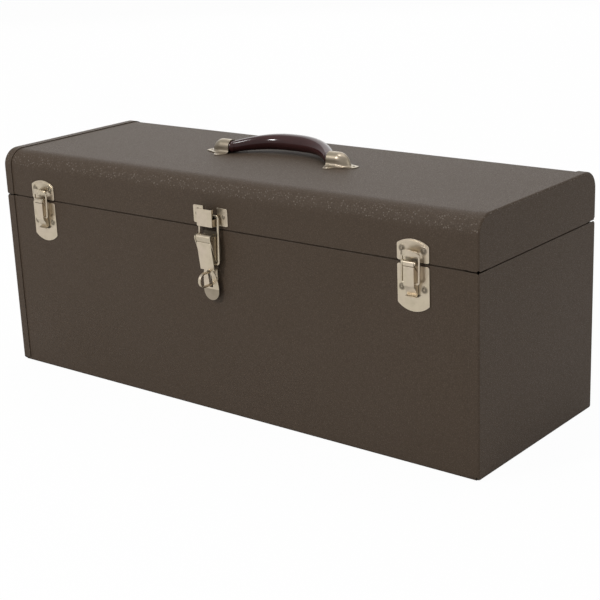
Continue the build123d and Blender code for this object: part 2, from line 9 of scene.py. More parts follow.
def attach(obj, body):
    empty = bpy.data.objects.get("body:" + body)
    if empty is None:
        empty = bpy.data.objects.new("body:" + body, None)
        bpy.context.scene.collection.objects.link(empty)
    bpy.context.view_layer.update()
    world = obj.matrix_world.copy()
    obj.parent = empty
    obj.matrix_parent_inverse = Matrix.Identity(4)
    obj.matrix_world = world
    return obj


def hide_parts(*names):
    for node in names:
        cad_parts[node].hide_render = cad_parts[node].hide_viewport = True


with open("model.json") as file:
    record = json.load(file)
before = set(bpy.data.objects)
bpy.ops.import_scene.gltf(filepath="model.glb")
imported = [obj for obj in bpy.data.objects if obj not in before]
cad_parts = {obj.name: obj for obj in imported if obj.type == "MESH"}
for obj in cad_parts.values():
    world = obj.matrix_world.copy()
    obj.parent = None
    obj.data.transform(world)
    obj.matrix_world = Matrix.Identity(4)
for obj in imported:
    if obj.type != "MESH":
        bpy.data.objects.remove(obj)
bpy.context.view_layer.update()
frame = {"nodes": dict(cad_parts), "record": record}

mm = 0.001
weld = 0.002  # corners nearer than this, in mm, are one
print("frame loaded,", len(frame["nodes"]), "nodes")


# shader maths: a socket that can stand in a Python sum
class Wire:
    def __init__(self, finish, socket):
        self.finish, self.socket = finish, socket

    def math(self, operation, *values):
        return self.finish.node("Math", {"operation": operation}, *values)

    def __add__(self, other):
        return self.math("ADD", self, other)

    def __radd__(self, other):
        return self.math("ADD", other, self)

    def __sub__(self, other):
        return self.math("SUBTRACT", self, other)

    def __rsub__(self, other):
        return self.math("SUBTRACT", other, self)

    def __mul__(self, other):
        return self.math("MULTIPLY", self, other)

    def __rmul__(self, other):
        return self.math("MULTIPLY", other, self)

    def out(self, name):
        return Wire(self.finish, self.socket.node.outputs[name])


feelers = dict(corner=6, edge=4)  # rays that a shader sends out to find corners and edges


# the nodes of one material or world: its main shader, and one method that adds every other node
class Finish:
    def __init__(self, block, shader):
        block.use_nodes = True
        self.block, self.tree = block, block.node_tree
        self.shader = self.tree.nodes[shader]

    def plug(self, socket, value):
        if isinstance(value, Wire):
            self.tree.links.new(value.socket, socket)
        else:
            socket.default_value = value

    def node(self, kind, settings=None, *values, **named):
        made = self.tree.nodes.new("ShaderNode" + kind)
        for key, value in (settings or {}).items():
            setattr(made, key, value)
        for socket, value in zip([s for s in made.inputs if s.enabled], values):
            self.plug(socket, value)
        for key, value in named.items():
            self.plug(made.inputs[key.replace("_", " ")], value)
        return Wire(self, next(o for o in made.outputs if o.enabled))

    def set(self, **named):
        for key, value in named.items():
            self.plug(self.shader.inputs[key.replace("_", " ")], value)

    def mix(self, factor, first, second):
        return self.node("Mix", {"data_type": "RGBA"}, factor, first, second)

    def places(self, stretch=(1, 1, 1)):
        spot = self.node("TexCoord").out("Object")
        return self.node("Mapping", {}, Vector=spot, Scale=stretch)

    def noise(self, spot, scale, detail=2.0, roughness=0.5):
        return self.node("TexNoise", {}, Vector=spot, Scale=scale, Detail=detail, Roughness=roughness)

    def ramp(self, value, low, high):
        return self.node("MapRange", {"clamp": True}, value, low, high, 0.0, 1.0)

    def corners(self, reach, low, high):
        # 1 deep in a corner, 0 in the open
        clear = self.node("AmbientOcclusion", {"samples": feelers["corner"]}, Distance=reach).out("AO")
        return self.ramp(1 - clear, low, high)

    def edges(self, reach, low, high):
        # how far a rounded normal leaves the true one: 1 along the edges, 0 on the flats
        rounded = self.node("Bevel", {"samples": feelers["edge"]}, Radius=reach)
        flat = self.node("NewGeometry").out("Normal")
        bend = self.node("VectorMath", {"operation": "DOT_PRODUCT"}, rounded, flat).out("Value")
        return self.ramp(1 - bend, low, high)


def rgba(colour):
    return (*colour, 1)


# camera, found from the box's corners in the photograph: metres, degrees, and millimetres for the lens
camera = dict(
    place=(0.9109, -1.0914, 0.5377), yaw=39.179, pitch=17.443, roll=-2.376, lens=84.51, sensor=36.0,
)


def makeCamera():
    yaw, pitch, roll = (radians(camera[k]) for k in ("yaw", "pitch", "roll"))
    back = Vector((sin(yaw) * cos(pitch), -cos(yaw) * cos(pitch), sin(pitch)))
    right = Vector((cos(yaw), sin(yaw), 0))
    up = back.cross(right)
    xAxis = cos(roll) * right + sin(roll) * up
    yAxis = cos(roll) * up - sin(roll) * right
    data = bpy.data.cameras.new("photo_camera")
    data.lens, data.sensor_width = camera["lens"], camera["sensor"]
    obj = bpy.data.objects.new("photo_camera", data)
    turn = Matrix((xAxis, yAxis, back)).transposed().to_4x4()
    obj.matrix_world = Matrix.Translation(camera["place"]) @ turn
    bpy.context.scene.collection.objects.link(obj)
    bpy.context.scene.camera = obj


makeCamera()

# studio: a white floor and surround, a key lamp at the front left and soft lamps above, behind and at the right
studio = dict(
    floorSize=14.0, floorColour=(0.86, 0.86, 0.855), floorRoughness=0.9, floorSpecular=0.1, floorMirrored=0.4,
    white=(1, 1, 1), whiteShare=0.97, skyLevel=0.42, mirrorLevel=0.62,
    lamps=(
        dict(name="key_softbox", place=(-0.80, -1.95, 1.58), aim=(0, 0, 0.15), size=0.34, power=22.5),
        dict(name="overhead_softbox", place=(-0.22, -0.48, 2.5), aim=(0, 0, 0.2), size=0.35, power=10),
        dict(name="top_softbox", place=(0.3, 0.6, 2.3), aim=(0, 0, 0.2), size=1.8, power=10),
        dict(name="back_softbox", place=(-1.95, 2.45, 1.75), aim=(0, 0, 0.24), size=3.0, power=31),
        dict(name="right_fill", place=(2.3, 0.1, 0.9), aim=(0, 0, 0.12), size=1.6, power=5.5),
    ),
)


def seenWhite(finish, mirrored):
    # 1 where the camera or clear glass looks, less where a shiny surface does
    path = finish.node("LightPath")
    direct = path.out("Is Camera Ray") + path.out("Is Transmission Ray")
    return finish.ramp(direct + path.out("Is Glossy Ray") * mirrored, 0.0, 1.0)


def makeFloor():
    half = studio["floorSize"] / 2
    corners = [(-half, -half, 0), (half, -half, 0), (half, half, 0), (-half, half, 0)]
    mesh = bpy.data.meshes.new("floor")
    mesh.from_pydata(corners, [], [(0, 1, 2, 3)])
    floor = bpy.data.objects.new("floor", mesh)
    bpy.context.scene.collection.objects.link(floor)
    finish = Finish(bpy.data.materials.new("white_floor"), "Principled BSDF")
    finish.set(Base_Color=rgba(studio["floorColour"]), Roughness=studio["floorRoughness"])
    finish.set(Specular_IOR_Level=studio["floorSpecular"])
    matt = Wire(finish, finish.shader.outputs["BSDF"])
    glow = finish.node("Emission", {}, Color=rgba(studio["white"]), Strength=1.0)
    share = seenWhite(finish, studio["floorMirrored"]) * studio["whiteShare"]
    blend = finish.node("MixShader", {}, share, matt, glow)
    finish.plug(finish.tree.nodes["Material Output"].inputs["Surface"], blend)
    mesh.materials.append(finish.block)


def makeSky():
    sky = Finish(bpy.data.worlds.new("studio_sky"), "Background")
    bpy.context.scene.world = sky.block
    level = studio["skyLevel"]
    mirrored = (studio["mirrorLevel"] - level) / (1 - level)
    sky.set(Color=rgba(studio["white"]), Strength=level + seenWhite(sky, mirrored) * (1 - level))


def makeLamp(lamp):
    data = bpy.data.lights.new(lamp["name"], "AREA")
    data.shape, data.size, data.energy = "SQUARE", lamp["size"], lamp["power"]
    obj = bpy.data.objects.new(lamp["name"], data)
    obj.location = lamp["place"]
    away = Vector(lamp["aim"]) - Vector(lamp["place"])
    obj.rotation_euler = away.to_track_quat("-Z", "Y").to_euler()
    obj.visible_camera = False
    bpy.context.scene.collection.objects.link(obj)


bpy.context.scene.view_settings.view_transform = "Standard"
makeFloor()
makeSky()
for lamp in studio["lamps"]:
    makeLamp(lamp)
print("camera and studio made")

# In the finishes, lengths are metres and scales are per metre. A Noise is scale, detail and roughness.
# A Fade is where a ramp starts and ends, an edge or corner is a reach and a fade, a Share is a tone's weight.

# brown wrinkle enamel, on the case and the lid: fine cells all over with painted shade in their valleys, beads
# where the sheet is bent with painted glints on them, and painted shade in the corners
wrinkle = dict(
    colour=(0.062, 0.039, 0.021), valleyShade=(0.038, 0.023, 0.012), cloud=(0.071, 0.047, 0.029),
    worn=(0.110, 0.083, 0.062), fleckAndGlint=(0.205, 0.168, 0.132), cornerShade=(0.020, 0.013, 0.007),
    valleyShadeShare=0.75, wornShare=0.7, fleckAndGlintShare=0.8, cornerShadeShare=0.7,
    cell=560.0, cellDrift=0.0022, cellFade=(0.02, 0.42), grainNoise=(2100.0, 2.0), dentNoise=(26.0, 1.0),
    bead=440.0, beadChosen=(0.28, 0.80), beadFade=(0.08, 0.40), beadOnFlats=0.12,
    bendStart=(0.05, 0.25), bendEnd=(0.70, 0.92),  # how far the normal points up on a bend
    cloudNoise=(7.0, 3.0), cloudFade=(0.32, 0.70), rubNoise=(120.0, 4.0, 0.6), rubFade=(0.40, 0.66),
    edge=(0.0011, 0.02, 0.20), corner=(0.010, 0.30, 0.90),
    ridgeRise=0.45, grainRise=0.25, beadRise=1.5, dentRise=0.7, bump=0.7, depth=0.00036,
    roughness=(0.52, 0.68), cornerMatt=0.3, gloss=0.20, specular=0.36,
)


def wrinkleFinish():
    finish = Finish(bpy.data.materials.new("wrinkle_enamel"), "Principled BSDF")
    spot = finish.places()
    drift = finish.noise(spot, wrinkle["cell"] / 2).out("Color")
    bent = finish.node("VectorMath", {"operation": "MULTIPLY_ADD"}, drift, (wrinkle["cellDrift"],) * 3, spot)
    cells = finish.node("TexVoronoi", {"feature": "DISTANCE_TO_EDGE"}, Vector=bent, Scale=wrinkle["cell"])
    ridge = finish.ramp(cells, *wrinkle["cellFade"])
    grain = finish.noise(spot, *wrinkle["grainNoise"])
    dent = finish.noise(spot, *wrinkle["dentNoise"])

    beads = finish.node("TexVoronoi", {"feature": "F1"}, Vector=bent, Scale=wrinkle["bead"])
    chosen = finish.ramp(finish.node("SeparateColor", {}, beads.out("Color")), *wrinkle["beadChosen"])
    upward = finish.node("SeparateXYZ", {}, finish.node("TexCoord").out("Normal")).out("Z")
    bends = finish.ramp(upward, *wrinkle["bendStart"]) * (1 - finish.ramp(upward, *wrinkle["bendEnd"]))
    onFlats = wrinkle["beadOnFlats"]
    bead = 1 - finish.ramp(beads.out("Distance"), *wrinkle["beadFade"])
    bead = bead * chosen * (onFlats + bends * (1 - onFlats))

    corner = finish.corners(*wrinkle["corner"])
    cloud = finish.ramp(finish.noise(spot, *wrinkle["cloudNoise"]), *wrinkle["cloudFade"])
    rub = finish.ramp(finish.noise(spot, *wrinkle["rubNoise"]), *wrinkle["rubFade"])
    rub = finish.edges(*wrinkle["edge"]) * rub
    tone = finish.mix(cloud, rgba(wrinkle["colour"]), rgba(wrinkle["cloud"]))
    # painted shade: the valleys between the wrinkle cells are darkened
    tone = finish.mix((1 - ridge) * wrinkle["valleyShadeShare"], tone, rgba(wrinkle["valleyShade"]))
    tone = finish.mix(rub * wrinkle["wornShare"], tone, rgba(wrinkle["worn"]))
    # painted glint: pale specks on the beads at the bends, standing in for the key lamp's sparkle on the lid's
    # front radius
    tone = finish.mix(bead * bends * wrinkle["fleckAndGlintShare"], tone, rgba(wrinkle["fleckAndGlint"]))
    # painted shade: ambient occlusion darkens the paint in corners, along seams and round the hardware
    tone = finish.mix(corner * wrinkle["cornerShadeShare"], tone, rgba(wrinkle["cornerShade"]))

    height = ridge * wrinkle["ridgeRise"] + grain * wrinkle["grainRise"]
    height = height + bead * wrinkle["beadRise"] + dent * wrinkle["dentRise"]
    bump = finish.node("Bump", {}, Strength=wrinkle["bump"], Distance=wrinkle["depth"], Height=height)
    low, high = wrinkle["roughness"]
    matt = high - ridge * (high - low) + corner * wrinkle["cornerMatt"]
    finish.set(Base_Color=tone, Roughness=matt - bead * (high - wrinkle["gloss"]), Normal=bump)
    finish.set(Specular_IOR_Level=wrinkle["specular"])
    return finish.block


# warm nickel plate, on the latches, rivets and handle caps; a piece's grimeAndShade mark darkens and dulls it:
# painted shade in seams, rolls, rivet rings, plates and corners, and a duller tone on the caps; edges are
# lightened as a painted highlight
nickel = dict(
    colour=(0.56, 0.485, 0.365), pink=(0.57, 0.485, 0.385), dull=(0.46, 0.40, 0.30),
    dark=(0.075, 0.058, 0.036), edgeHighlight=(0.68, 0.62, 0.50),
    smudgeShare=0.35, fleckAndGlintShare=0.25, edgeHighlightShare=0.30,
    brush=(260.0, 260.0, 2600.0), brushNoise=(1.0, 3.0, 0.6), tintNoise=(55.0, 2.0), tintFade=(0.35, 0.65),
    smudgeNoise=(120.0, 3.0, 0.55), smudgeFade=(0.46, 0.74), fleckNoise=(1500.0, 2.0), fleckFade=(0.62, 0.74),
    corner=(0.0035, 0.48, 1.0), cornerShadeWeight=0.38, deepShadeFade=(0.5, 1.0), deepShadeMetal=0.6, deepShadeMatt=0.25,
    edge=(0.0007, 0.02, 0.25), smudgeRise=0.4, bump=0.10, depth=0.00005,
    roughness=(0.32, 0.46), brushMatt=0.06,
)


def nickelFinish():
    finish = Finish(bpy.data.materials.new("nickel_plate"), "Principled BSDF")
    spot = finish.places()
    lines = finish.noise(finish.places(nickel["brush"]), *nickel["brushNoise"])
    tint = finish.ramp(finish.noise(spot, *nickel["tintNoise"]), *nickel["tintFade"])
    smudge = finish.ramp(finish.noise(spot, *nickel["smudgeNoise"]), *nickel["smudgeFade"])
    # on the nickel these are dull flecks in the plating
    fleckAndGlint = finish.ramp(finish.noise(spot, *nickel["fleckNoise"]), *nickel["fleckFade"])
    grimeAndShade = finish.node("Attribute", {"attribute_name": "grimeAndShade"}).out("Fac")
    # painted shade: ambient occlusion adds shade in the corners
    grimeAndShade = finish.ramp(grimeAndShade + finish.corners(*nickel["corner"]) * nickel["cornerShadeWeight"], 0.0, 1.0)
    deepShade = finish.ramp(grimeAndShade, *nickel["deepShadeFade"])
    edgeHighlightMask = finish.edges(*nickel["edge"])

    tone = finish.mix(tint, rgba(nickel["colour"]), rgba(nickel["pink"]))
    spots = smudge * nickel["smudgeShare"] + fleckAndGlint * nickel["fleckAndGlintShare"]
    tone = finish.mix(spots, tone, rgba(nickel["dull"]))
    # painted highlight: the plate is lightened along every edge
    tone = finish.mix(edgeHighlightMask * nickel["edgeHighlightShare"], tone, rgba(nickel["edgeHighlight"]))
    # painted shade: the plate is darkened where the mark is set, and made matt and less metallic where the mark
    # is strong
    tone = finish.mix(grimeAndShade, tone, rgba(nickel["dark"]))

    height = lines + smudge * nickel["smudgeRise"]
    bump = finish.node("Bump", {}, Strength=nickel["bump"], Distance=nickel["depth"], Height=height)
    low, high = nickel["roughness"]
    matt = low + smudge * (high - low) + lines * nickel["brushMatt"] + deepShade * nickel["deepShadeMatt"]
    finish.set(Base_Color=tone, Metallic=1 - deepShade * nickel["deepShadeMetal"], Roughness=matt, Normal=bump)
    return finish.block


# plain drawn steel with a few stains, on the hinge, the pins and the handle's core
steel = dict(
    colour=(0.40, 0.39, 0.37), stain=(0.31, 0.285, 0.25), rust=(0.16, 0.085, 0.045), rustShare=0.35,
    stainNoise=(45.0, 5.0, 0.65), stainFade=(0.45, 0.72), rustNoise=(260.0, 5.0, 0.7), rustFade=(0.62, 0.74),
    drawn=(60.0, 1800.0, 1800.0), drawnNoise=(1.0, 2.0), bump=0.06, depth=0.00005,
    roughness=(0.44, 0.56), rustMatt=0.2, rustMetal=0.4,
)


def steelFinish():
    finish = Finish(bpy.data.materials.new("hinge_steel"), "Principled BSDF")
    spot = finish.places()
    stain = finish.ramp(finish.noise(spot, *steel["stainNoise"]), *steel["stainFade"])
    rust = finish.ramp(finish.noise(spot, *steel["rustNoise"]), *steel["rustFade"])
    drawn = finish.noise(finish.places(steel["drawn"]), *steel["drawnNoise"])
    tone = finish.mix(stain, rgba(steel["colour"]), rgba(steel["stain"]))
    tone = finish.mix(rust * steel["rustShare"], tone, rgba(steel["rust"]))
    bump = finish.node("Bump", {}, Strength=steel["bump"], Distance=steel["depth"], Height=drawn)
    low, high = steel["roughness"]
    matt = low + stain * (high - low) + rust * steel["rustMatt"]
    finish.set(Base_Color=tone, Metallic=1 - rust * steel["rustMetal"], Roughness=matt, Normal=bump)
    return finish.block


# dark maroon plastic with a faint swirl and scuffs along it, on the handle
grip = dict(
    colour=(0.030, 0.0085, 0.0085), swirl=(0.046, 0.014, 0.014), scuffed=(0.075, 0.036, 0.034), scuffShare=0.35,
    swirlAlong=(14.0, 60.0, 60.0), swirlNoise=(1.0, 3.0, 0.55), swirlFade=(0.42, 0.68),
    scuffAlong=(160.0, 900.0, 900.0), scuffNoise=(1.0, 4.0, 0.7), scuffFade=(0.58, 0.76),
    waveNoise=(110.0, 2.0), scuffRise=0.2, bump=0.10, depth=0.00012, roughness=(0.13, 0.30), specular=0.42,
)


def gripFinish():
    finish = Finish(bpy.data.materials.new("maroon_plastic"), "Principled BSDF")
    swirl = finish.noise(finish.places(grip["swirlAlong"]), *grip["swirlNoise"])
    swirl = finish.ramp(swirl, *grip["swirlFade"])
    scuff = finish.noise(finish.places(grip["scuffAlong"]), *grip["scuffNoise"])
    scuff = finish.ramp(scuff, *grip["scuffFade"])
    wave = finish.noise(finish.places(), *grip["waveNoise"])
    tone = finish.mix(swirl, rgba(grip["colour"]), rgba(grip["swirl"]))
    tone = finish.mix(scuff * grip["scuffShare"], tone, rgba(grip["scuffed"]))
    height = wave + scuff * grip["scuffRise"]
    bump = finish.node("Bump", {}, Strength=grip["bump"], Distance=grip["depth"], Height=height)
    low, high = grip["roughness"]
    finish.set(Base_Color=tone, Roughness=low + scuff * (high - low), Normal=bump)
    finish.set(Specular_IOR_Level=grip["specular"])
    return finish.block


finishes = dict(
    wrinkle_paint=wrinkleFinish(), nickel_plate=nickelFinish(),
    hinge_steel=steelFinish(), grip_plastic=gripFinish(),
)
print("finishes made:", ", ".join(finishes))

slots = {part["node"]: part["material_slot"] for part in frame["record"]["subparts"]}
bodyOf = {node: body for body, nodes in frame["record"]["behaviour"]["bodies"].items() for node in nodes}
for name, node in frame["nodes"].items():
    node.data.materials.clear()
    node.data.materials.append(finishes[slots[name]])


def makePiece(name, form, node):
    # mesh piece that rides where its CAD node rides and takes its finish
    mesh = bpy.data.meshes.new(name)
    form.to_mesh(mesh)
    form.free()
    mesh.polygons.foreach_set("use_smooth", [True] * len(mesh.polygons))
    mesh.materials.append(finishes[slots[node]])
    obj = bpy.data.objects.new(name, mesh)
    bpy.context.scene.collection.objects.link(obj)
    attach(obj, bodyOf[node])
    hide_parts(node)
    return obj


def cadForm(node):
    source = frame["nodes"][node]
    form = bmesh.new()
    form.from_mesh(source.data)
    form.transform(source.matrix_world)
    bmesh.ops.remove_doubles(form, verts=form.verts, dist=weld * mm)
    return form


def islands(form):
    # low and high corner of each separate solid in a form
    seen, found = set(), []
    for start in form.verts:
        if start in seen:
            continue
        seen.add(start)
        queue, shell = [start], []
        while queue:
            vert = queue.pop()
            shell.append(vert.co.copy())
            for edge in vert.link_edges:
                other = edge.other_vert(vert)
                if other not in seen:
                    seen.add(other)
                    queue.append(other)
        found.append([[pick(c[i] for c in shell) for i in range(3)] for pick in (min, max)])
    return found


# pressed and bent nickel pieces: the CAD solid with its edges broken, as tumbled and plated stampings have
pressed = dict(
    edge=0.22, sharpest=32.0, segments=2, roundness=0.5, flattest=0.6,
    levelNear=0.01, seamSkin=0.4, seamShade=0.9, shadeSoft=0.2,
    nodes=("left_keeper", "right_keeper", "left_latch_base", "right_latch_base", "left_lever", "right_lever",
           "left_bail", "right_bail", "hasp_keeper", "hasp_base", "hasp_lever", "hasp_bail", "padlock_staple"),
)


def cutAcross(form, height):
    everything = form.verts[:] + form.edges[:] + form.faces[:]
    bmesh.ops.bisect_plane(form, geom=everything, plane_co=(0, 0, height * mm), plane_no=(0, 0, 1))


def levelAt(form, height):
    return [v for v in form.verts if abs(v.co.z - height * mm) < pressed["levelNear"] * mm]


def scoreSeam(form, grimeAndShade, height, width, depth):
    # the groove where the rolled top of a lever closes on its face, with painted shade in it
    for rise in (-width / 2, 0, width / 2):
        cutAcross(form, height + rise)
    level = levelAt(form, height)
    front = min(v.co.y for v in level)
    for vert in level:
        if vert.co.y < front + pressed["seamSkin"] * mm:
            vert.co.y += depth * mm
            vert[grimeAndShade] = pressed["seamShade"]


def shadeBetween(form, grimeAndShade, low, high, dark):
    for height in (low, high):
        cutAcross(form, height - pressed["shadeSoft"])
        cutAcross(form, height + pressed["shadeSoft"])
    for vert in form.verts:
        if low * mm < vert.co.z < high * mm:
            vert[grimeAndShade] = max(vert[grimeAndShade], dark)


# draw-latch levers: the foot curls in to a lip over the plate, and the top is rolled
drawLever = dict(
    noseTop=179.0, foot=162.85, footNear=0.005, skin=1.3, curl=0.48, curlPower=1.8,
    cuts=(0.15, 0.3, 0.45, 0.6, 0.72, 0.84, 0.93, 0.98),
    seam=(192.3, 1.1, 0.5), roll=195.6, rollShade=0.22, lip=(150.0, 164.6, 0.34),
)


def shapeDrawLever(form, grimeAndShade):
    top, foot = drawLever["noseTop"], drawLever["foot"]
    heights = [top - (top - foot) * share for share in drawLever["cuts"]]
    for height in [*heights, top]:
        cutAcross(form, height)
    front = [(h, min(v.co.y for v in levelAt(form, h))) for h in [top, *heights, foot]]
    reach = front[-1][1] - front[0][1]
    for vert in form.verts:
        z = vert.co.z / mm
        for (above, yAbove), (below, yBelow) in zip(front, front[1:]):
            if below + drawLever["footNear"] < z <= above:
                was = yBelow + (yAbove - yBelow) * (z - below) / (above - below)
                share = (top - z) / (top - foot)
                curled = front[0][1] + reach * drawLever["curl"] * share ** drawLever["curlPower"]
                if vert.co.y < was + drawLever["skin"] * mm:
                    vert.co.y += curled - was
    scoreSeam(form, grimeAndShade, *drawLever["seam"])
    # painted shade: the rolled top is darkened as if the keeper's hood shaded it
    for vert in form.verts:
        if vert.co.z > drawLever["roll"] * mm:
            vert[grimeAndShade] = max(vert[grimeAndShade], drawLever["rollShade"])
    # painted shade: the curled foot over the plate is darkened
    shadeBetween(form, grimeAndShade, *drawLever["lip"])


# hasp: a fat roll on the pivot, ears with wide eyes, and an oval tail that leans out to the lever's foot
hasp = dict(
    x=-1.0, pivotOut=-115.9, pivotHigh=186.7, leverHalf=9.1, roll=(2.75, 3.5), rollNear=0.06, rollShade=0.15,
    ear=((1.3, 2.5), (2.8, 4.0)),
    tailMiddle=131.4, tailHalf=9.8, tailTall=27.0, tailSide=7.0, tailCuts=10, tailStep=2.0,
    neckTop=154.0, neckFront=-111.0, lean=3.0, leanFrom=136.0, leanPower=1.5,
    sheetFront=-105.1, returnFrom=205.6, returnEdge=(9.2, 9.4), returnDeeper=2.3,
    seam=(182.6, 1.2, 0.5), tailShade=(100.0, 133.2, 0.50), plateShade=(188.4, 260.0, 0.9),
)


def aroundPivot(vert):
    return sqrt((vert.co.y / mm - hasp["pivotOut"]) ** 2 + (vert.co.z / mm - hasp["pivotHigh"]) ** 2)


def spreadFromPivot(vert, reach):
    middle = Vector((vert.co.x, hasp["pivotOut"] * mm, hasp["pivotHigh"] * mm))
    vert.co = middle + (vert.co - middle).normalized() * reach * mm


def shapeHaspLever(form, grimeAndShade):
    for i in range(hasp["tailCuts"]):
        cutAcross(form, hasp["tailMiddle"] + hasp["tailStep"] * (i + 0.5))
    scoreSeam(form, grimeAndShade, *hasp["seam"])
    small, large = hasp["roll"]
    for vert in form.verts:
        z, aside = vert.co.z / mm, vert.co.x / mm - hasp["x"]
        # painted shade: the roll is darkened to dull its highlight
        if abs(aroundPivot(vert) - small) < hasp["rollNear"]:
            spreadFromPivot(vert, large)
            vert[grimeAndShade] = hasp["rollShade"]
        if hasp["tailMiddle"] < z < hasp["neckTop"] and vert.co.y / mm > hasp["neckFront"]:
            if abs(aside) > hasp["tailSide"]:
                half = hasp["tailHalf"] * sqrt(1 - ((z - hasp["tailMiddle"]) / hasp["tailTall"]) ** 2)
                vert.co.x = (hasp["x"] + (half if aside > 0 else -half)) * mm
            lean = max(0, (z - hasp["leanFrom"]) / (hasp["neckTop"] - hasp["leanFrom"]))
            vert.co.y -= hasp["lean"] * lean ** hasp["leanPower"] * mm
    # painted shade: the tail disc is darkened, standing for the darker surroundings it reflects
    shadeBetween(form, grimeAndShade, *hasp["tailShade"])


def shapeHaspKeeper(form, grimeAndShade):
    near, far = hasp["returnEdge"]
    for vert in form.verts:
        out = hasp["sheetFront"] - vert.co.y / mm
        if vert.co.z / mm > hasp["returnFrom"] and near < out < far:
            vert.co.y += hasp["returnDeeper"] * mm


def shapeHaspBase(form, grimeAndShade):
    (bore, ear), (eye, rim) = hasp["ear"]
    for vert in form.verts:
        away = aroundPivot(vert)
        if bore < away < ear and abs(vert.co.x / mm - hasp["x"]) > hasp["leverHalf"]:
            spreadFromPivot(vert, eye + (rim - eye) * (away - bore) / (ear - bore))
    # painted shade: the base plate's upper part, behind the lever and under the keeper, is darkened
    shadeBetween(form, grimeAndShade, *hasp["plateShade"])


shapings = dict(
    left_lever=shapeDrawLever, right_lever=shapeDrawLever,
    hasp_lever=shapeHaspLever, hasp_base=shapeHaspBase, hasp_keeper=shapeHaspKeeper,
)


def pressedPiece(node):
    form = cadForm(node)
    flattest, sharpest = radians(pressed["flattest"]), radians(pressed["sharpest"])
    bmesh.ops.dissolve_limit(form, angle_limit=flattest, verts=form.verts, edges=form.edges)
    grimeAndShade = form.verts.layers.float.new("grimeAndShade")
    if node in shapings:
        shapings[node](form, grimeAndShade)
    form.normal_update()
    sharp = [e for e in form.edges if e.is_manifold and e.calc_face_angle(0) > sharpest]
    bmesh.ops.bevel(form, geom=sharp, offset=pressed["edge"] * mm, offset_type="OFFSET", affect="EDGES",
                    segments=pressed["segments"], profile=pressed["roundness"], clamp_overlap=True)
    obj = makePiece(node + "_pressing", form, node)
    even = obj.modifiers.new("even_normals", "WEIGHTED_NORMAL")
    even.keep_sharp = False


for node in pressed["nodes"]:
    pressedPiece(node)
print("pressings made:", len(pressed["nodes"]))

# rivets: a rolled rim round a domed middle, darkened in a ring by painted shade; the profile is (radius, rise)
rivet = dict(
    steps=28, stand=1.0,
    profile=((0.0, 1.0), (0.6, 0.98), (1.1, 0.88), (1.5, 0.70), (1.8, 0.46), (2.0, 0.30), (2.3, 0.20),
             (2.7, 0.18), (3.05, 0.26), (3.3, 0.34), (3.5, 0.30), (3.65, 0.15), (3.7, 0.0)),
    ringAt=1.7, ringHalf=2.1, ringShade=0.80, haspShare=0.66, capShare=0.55,
    nodes=("left_keeper_rivets", "left_base_rivets", "right_keeper_rivets", "right_base_rivets",
           "hasp_keeper_rivets", "hasp_base_rivets", "handle_cap_rivets"),
)


def rivetHead(form, grimeAndShade, seat, axes, scale):
    across, along, out = axes
    rings = []
    for radius, rise in rivet["profile"]:
        reach = scale * radius * mm
        dark = rivet["ringShade"] * max(0, 1 - ((radius - rivet["ringAt"]) / rivet["ringHalf"]) ** 2)
        ring = []
        for i in range(rivet["steps"] if radius else 1):
            turn = 2 * pi * i / rivet["steps"]
            spot = across * cos(turn) * reach + along * sin(turn) * reach + out * scale * rise * mm
            vert = form.verts.new(seat + spot)
            vert[grimeAndShade] = dark
            ring.append(vert)
        rings.append(ring)
    for inner, outer in zip(rings, rings[1:]):
        for i in range(rivet["steps"]):
            j = (i + 1) % rivet["steps"]
            corners = [inner[i % len(inner)], outer[i], outer[j]]
            if len(inner) > 1:
                corners.append(inner[j])
            form.faces.new(corners)


def rivetPiece(node):
    upright = node == "handle_cap_rivets"
    scale = rivet["capShare"] if upright else rivet["haspShare"] if node.startswith("hasp") else 1.0
    stand = rivet["stand"] * mm
    solids = cadForm(node)
    form = bmesh.new()
    grimeAndShade = form.verts.layers.float.new("grimeAndShade")
    for low, high in islands(solids):
        middle = [(a + b) / 2 for a, b in zip(low, high)]
        if upright:
            seat = Vector((middle[0], middle[1], high[2] - stand))
            axes = Vector((1, 0, 0)), Vector((0, 1, 0)), Vector((0, 0, 1))
        else:
            seat = Vector((middle[0], low[1] + stand, middle[2]))
            axes = Vector((1, 0, 0)), Vector((0, 0, 1)), Vector((0, -1, 0))
        rivetHead(form, grimeAndShade, seat, axes, scale)
    solids.free()
    bmesh.ops.recalc_face_normals(form, faces=form.faces)
    makePiece(node + "_heads", form, node)


for node in rivet["nodes"]:
    rivetPiece(node)
print("rivets made:", len(rivet["nodes"]))

# handle caps: drawn domes that slope to a flared foot with two lobes and a tongue
cap = dict(
    mouth=64.6, centre=3.75, seat=243.3, top=14.1, wall=7.5, spine=11.5, nose=13.6, sheet=0.9,
    roundShare=0.65, flare=2.8, flareShares=(0.85, 0.50),  # where the flare starts, at the sides and the nose
    waist=0.8, lobe=19.3, lobeAlong=7.5, lobeHalf=5.2, tongue=33.1, tongueTurn=0.36, squareness=4,
    dull=0.46, creaseShade=0.25, weld=0.004, edge=0.2, edgeSegments=2, edgeAngle=50.0,
    domeSteps=18, flareSteps=6, footSteps=5, fanSteps=44, sideSteps=20,
)


